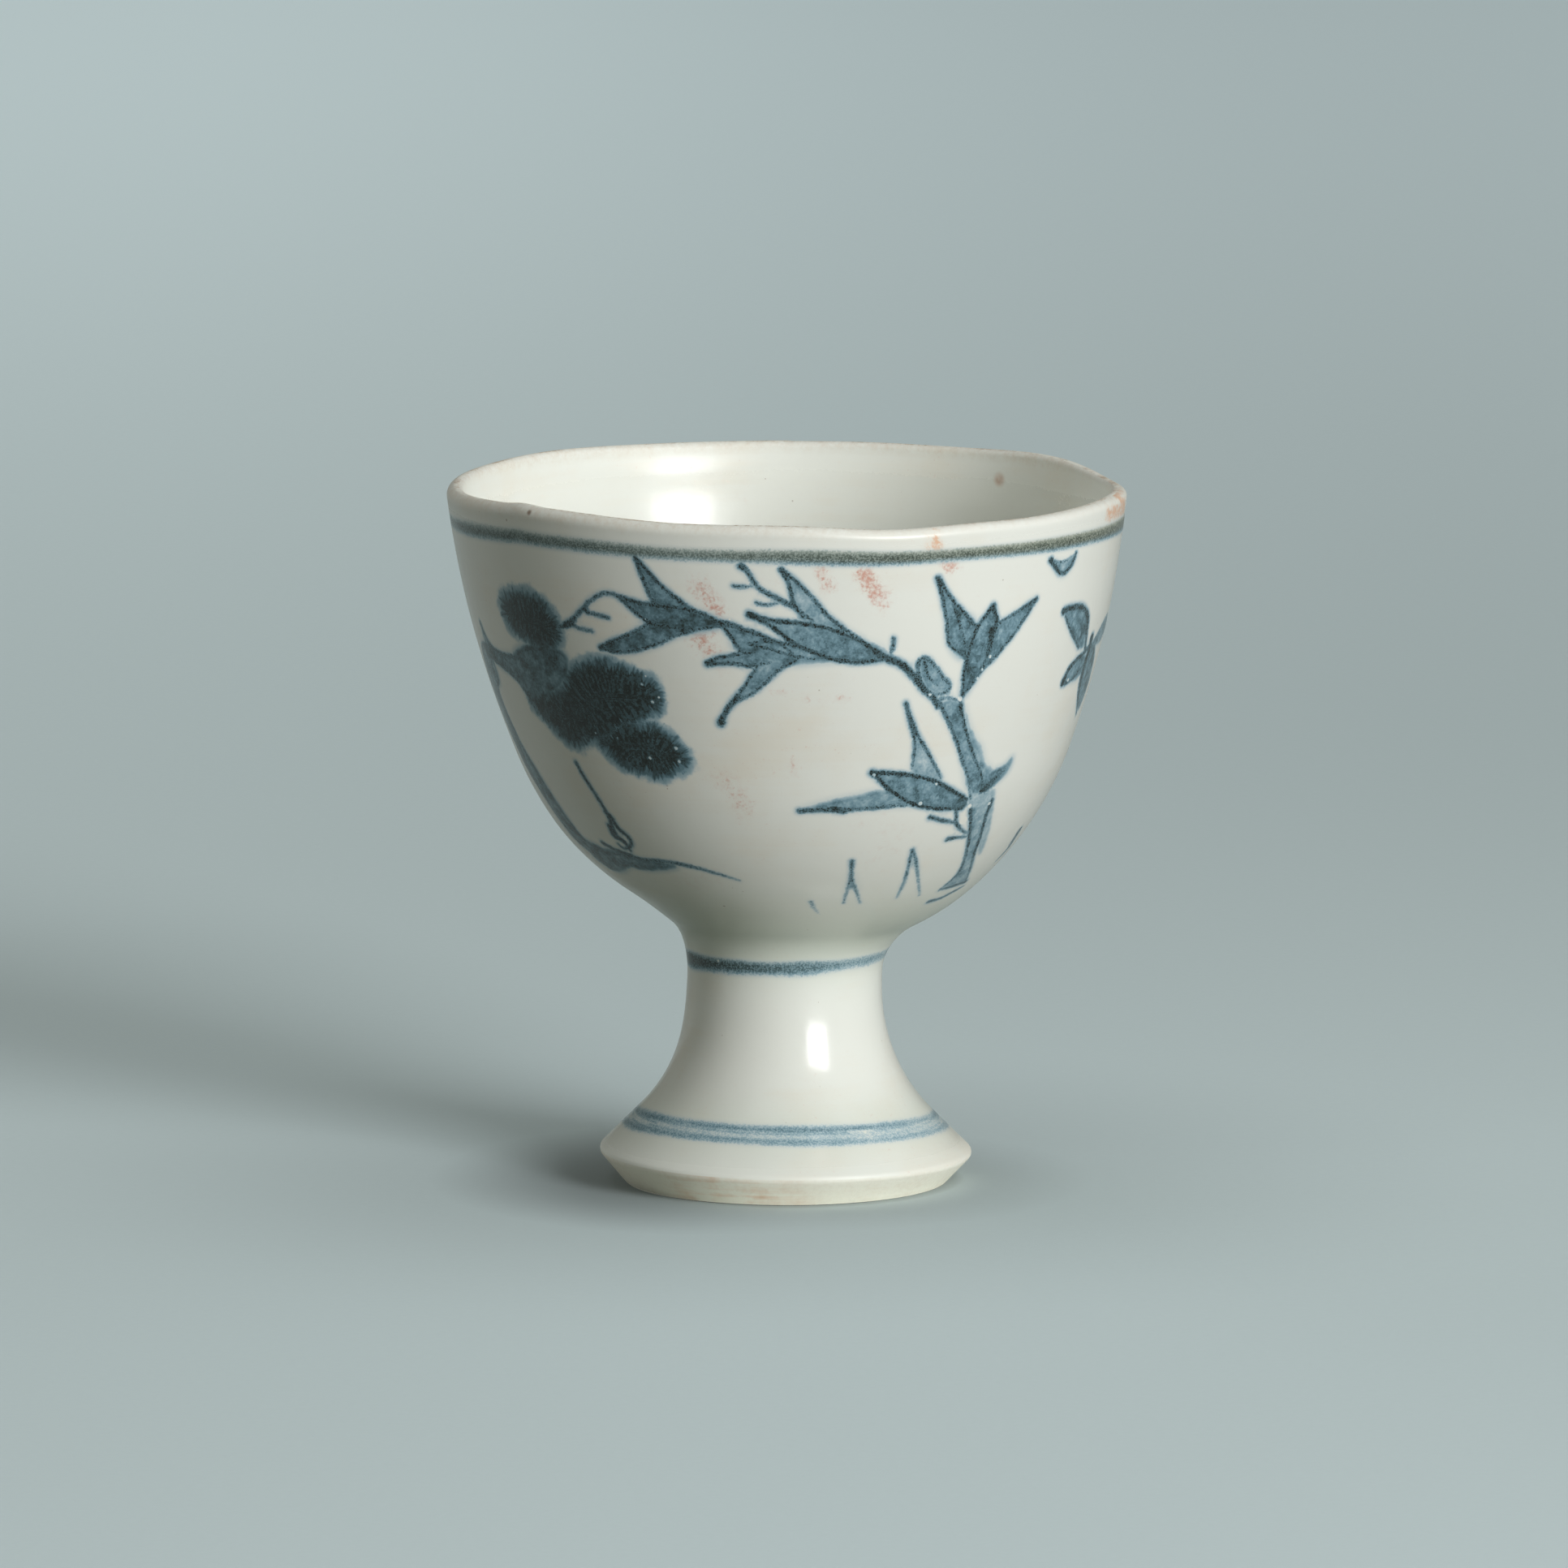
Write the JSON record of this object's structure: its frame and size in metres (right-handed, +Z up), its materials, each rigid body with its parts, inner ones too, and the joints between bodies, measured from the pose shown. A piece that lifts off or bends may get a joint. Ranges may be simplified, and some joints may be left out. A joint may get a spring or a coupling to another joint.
{
  "type": "stem cup",
  "caption": "Small blue-and-white porcelain stem cup: deep rounded bowl luted to a short hollow stem that spreads to a sharp-edged foot, with cobalt lines at the rim, neck and foot.",
  "frame": {"origin": "centre of the foot ring's standing plane", "axes": "+Z up along the cup's axis of turning; the painted pine and bamboo of the picture face -Y, with +X to the right"},
  "size_m": [0.049, 0.049, 0.051],
  "materials": {
    "porcelain_body": "fired, unglazed, slightly cream",
    "luting_slip": "fired slip, matt",
    "clear_glaze": "clear, faintly blue-green, satin to gloss",
    "cobalt": "painted under the glaze, grey-blue"
  },
  "bodies": {
    "root": {"bowl": "porcelain_body", "stem": "porcelain_body", "luting_slip": "luting_slip", "outer_glaze": "clear_glaze", "lining_glaze": "clear_glaze", "rim_line": "cobalt", "neck_line": "cobalt", "foot_line_upper": "cobalt", "foot_line_lower": "cobalt"}
  },
  "joints": []
}
